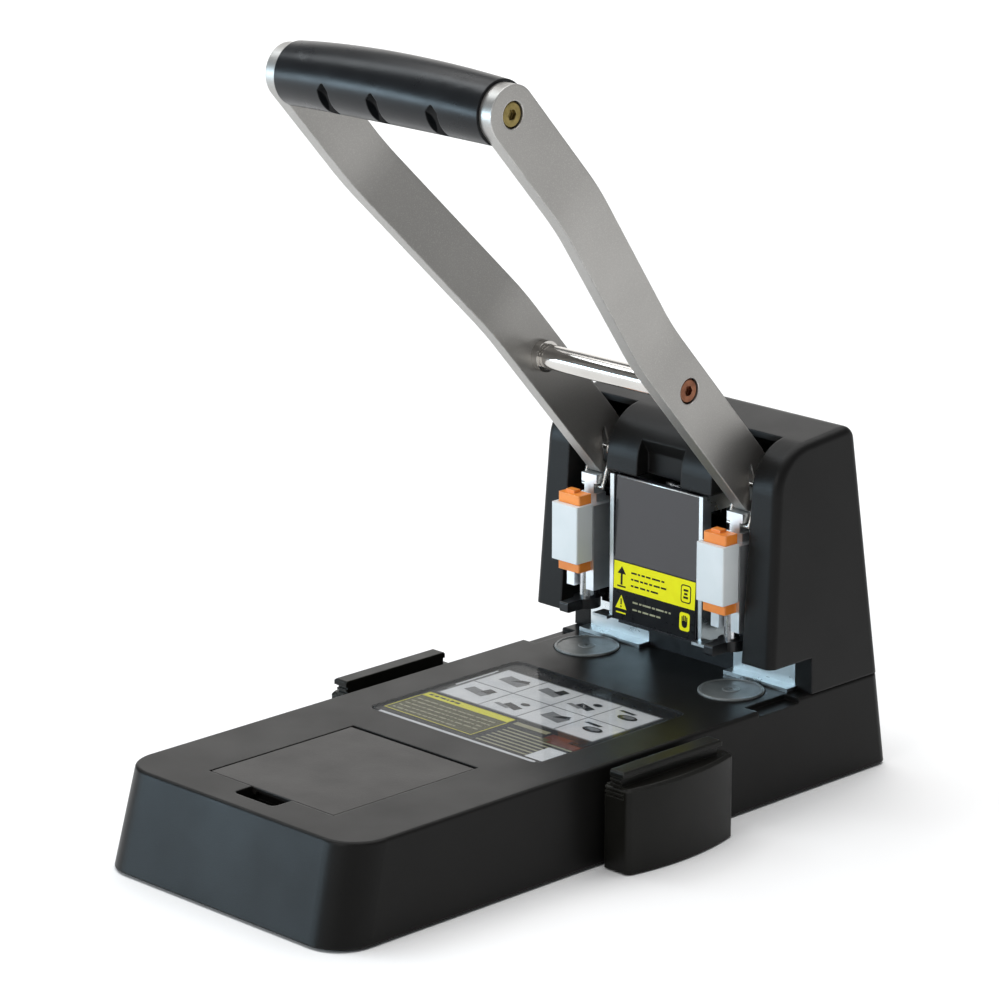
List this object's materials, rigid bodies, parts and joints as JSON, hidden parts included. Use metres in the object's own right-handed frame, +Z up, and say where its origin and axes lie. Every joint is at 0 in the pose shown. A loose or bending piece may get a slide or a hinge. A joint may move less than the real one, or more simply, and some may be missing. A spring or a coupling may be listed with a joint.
{
  "type": "hole punch",
  "caption": "Heavy-duty two-hole lever punch on a long base, with forked lever, bar grip, clip-locked punch pins, pull-out paper guides and a lidded store.",
  "frame": {"origin": "middle of the footprint of the whole punch, on the surface it stands on", "axes": "+Z up, -Y towards the user, +X to the right seen from the user; the line through the two punch pins is parallel to X at y = 86.75 mm"},
  "size_m": [0.172, 0.3046, 0.3103],
  "materials": {
    "base_plastic": "satin moulded ABS, dark warm grey",
    "housing_plastic": "fine-textured moulded ABS, charcoal",
    "underside_plastic": "matt",
    "foot_rubber": "matt",
    "screw_steel": "blackened",
    "anvil_steel": "ground",
    "disc_plastic": "grey nylon",
    "lid_plastic": "satin",
    "printed_card": "printed",
    "clear_plastic": "clear polished acrylic",
    "guide_plastic": "satin",
    "rail_plastic": "matt nylon",
    "frame_steel": "bright zinc plated",
    "guide_block": "black acetal",
    "centre_plastic": "semi-gloss",
    "shaft_steel": "ground",
    "spring_steel": "oiled",
    "arm_metal": "satin silver-grey coat with bright edges",
    "grip_plastic": "semi-gloss moulded",
    "brass_screw": "yellow passivated",
    "copper_screw": "copper-coloured",
    "chrome": "polished",
    "bronze": "plain bearing",
    "carrier_metal": "die-cast, bright",
    "pin_steel": "hardened",
    "orange_plastic": "satin",
    "sleeve_plastic": "satin light grey",
    "foot_plastic": "black acetal",
    "smoked_plastic": "smoked, glossy",
    "printed_strip": "printed film"
  },
  "bodies": {
    "base": {"base_shell": "base_plastic", "base_plate": "underside_plastic", "rubber_feet": "foot_rubber", "base_screws": "screw_steel", "anvil_plate": "anvil_steel", "cutting_disc_left": "disc_plastic", "cutting_disc_right": "disc_plastic", "label_card": "printed_card", "label_cover": "clear_plastic", "punch_frame_left": "frame_steel", "punch_frame_right": "frame_steel", "mounting_plate": "anvil_steel", "frame_bolts": "screw_steel", "carrier_guide_left": "guide_block", "carrier_guide_right": "guide_block", "centre_block": "centre_plastic", "pivot_shaft": "shaft_steel", "retaining_rings": "spring_steel", "shaft_spacers": "shaft_steel", "return_spring_left": "spring_steel", "return_spring_right": "spring_steel", "housing": "housing_plastic"},
    "storage_lid": {"storage_lid": "lid_plastic"},
    "guide_left": {"guide_handle_left": "guide_plastic", "guide_rail_left": "rail_plastic"},
    "guide_right": {"guide_handle_right": "guide_plastic", "guide_rail_right": "rail_plastic"},
    "lever": {"lever_arm_left": "arm_metal", "lever_arm_right": "arm_metal", "grip": "grip_plastic", "grip_rod": "shaft_steel", "grip_screws": "brass_screw", "cross_rod": "chrome", "rod_collars": "chrome", "rod_screws": "copper_screw", "hub_bush_left": "bronze", "hub_bush_right": "bronze"},
    "chip_bin": {"chip_bin": "smoked_plastic", "bin_label": "printed_strip"},
    "punch_left": {"punch_pin_left": "pin_steel", "pin_carrier_left": "carrier_metal", "pin_lock_left": "orange_plastic"},
    "sleeve_left": {"release_sleeve_left": "sleeve_plastic"},
    "foot_left": {"pressure_foot_left": "foot_plastic"},
    "link_left": {"hairpin_link_left": "spring_steel"},
    "punch_right": {"punch_pin_right": "pin_steel", "pin_carrier_right": "carrier_metal", "pin_lock_right": "orange_plastic"},
    "sleeve_right": {"release_sleeve_right": "sleeve_plastic"},
    "foot_right": {"pressure_foot_right": "foot_plastic"},
    "link_right": {"hairpin_link_right": "spring_steel"}
  },
  "joints": [
    {"name": "lever_hinge", "type": "hinge", "parent": "base", "child": "lever", "pos_m": [0, 0.11375, 0.105], "axis": [1, 0, 0], "range_deg": [0, 50], "stiffness_Nm_per_rad": 1.3, "springref_deg": -57.3},
    {"name": "punch_slide_left", "type": "slide", "parent": "base", "child": "punch_left", "axis": [0, 0, -1], "range_m": [0, 0.02033]},
    {"name": "foot_slide_left", "type": "slide", "parent": "base", "child": "foot_left", "axis": [0, 0, -1], "range_m": [0, 0.0165]},
    {"name": "link_pivot_left", "type": "hinge", "parent": "lever", "child": "link_left", "pos_m": [-0.04, 0.09535, 0.1236], "axis": [1, 0, 0], "range_deg": [-22.43, 0]},
    {"name": "sleeve_slide_left", "type": "slide", "parent": "punch_left", "child": "sleeve_left", "axis": [0, 0, 1], "range_m": [0, 0.0035]},
    {"name": "punch_slide_right", "type": "slide", "parent": "base", "child": "punch_right", "axis": [0, 0, -1], "range_m": [0, 0.02033]},
    {"name": "foot_slide_right", "type": "slide", "parent": "base", "child": "foot_right", "axis": [0, 0, -1], "range_m": [0, 0.0165]},
    {"name": "link_pivot_right", "type": "hinge", "parent": "lever", "child": "link_right", "pos_m": [0.04, 0.09535, 0.1236], "axis": [1, 0, 0], "range_deg": [-22.43, 0]},
    {"name": "sleeve_slide_right", "type": "slide", "parent": "punch_right", "child": "sleeve_right", "axis": [0, 0, 1], "range_m": [0, 0.0035]},
    {"name": "lid_hinge", "type": "hinge", "parent": "base", "child": "storage_lid", "pos_m": [0, -0.05125, 0.0377], "axis": [-1, 0, 0], "range_deg": [0, 100]},
    {"name": "guide_slide_left", "type": "slide", "parent": "base", "child": "guide_left", "axis": [-1, 0, 0], "range_m": [0, 0.085]},
    {"name": "guide_slide_right", "type": "slide", "parent": "base", "child": "guide_right", "axis": [1, 0, 0], "range_m": [0, 0.085]},
    {"name": "bin_slide", "type": "slide", "parent": "base", "child": "chip_bin", "axis": [0, -1, 0], "range_m": [0, 0.024]}
  ],
  "couplings": [
    {"joint": "punch_slide_left", "follows": "lever_hinge", "m_per_rad": 0.023289},
    {"joint": "foot_slide_left", "follows": "lever_hinge", "m_per_rad": 0.018908},
    {"joint": "link_pivot_left", "follows": "lever_hinge", "ratio": -0.44766},
    {"joint": "punch_slide_right", "follows": "lever_hinge", "m_per_rad": 0.023289},
    {"joint": "foot_slide_right", "follows": "lever_hinge", "m_per_rad": 0.018908},
    {"joint": "link_pivot_right", "follows": "lever_hinge", "ratio": -0.44766}
  ]
}
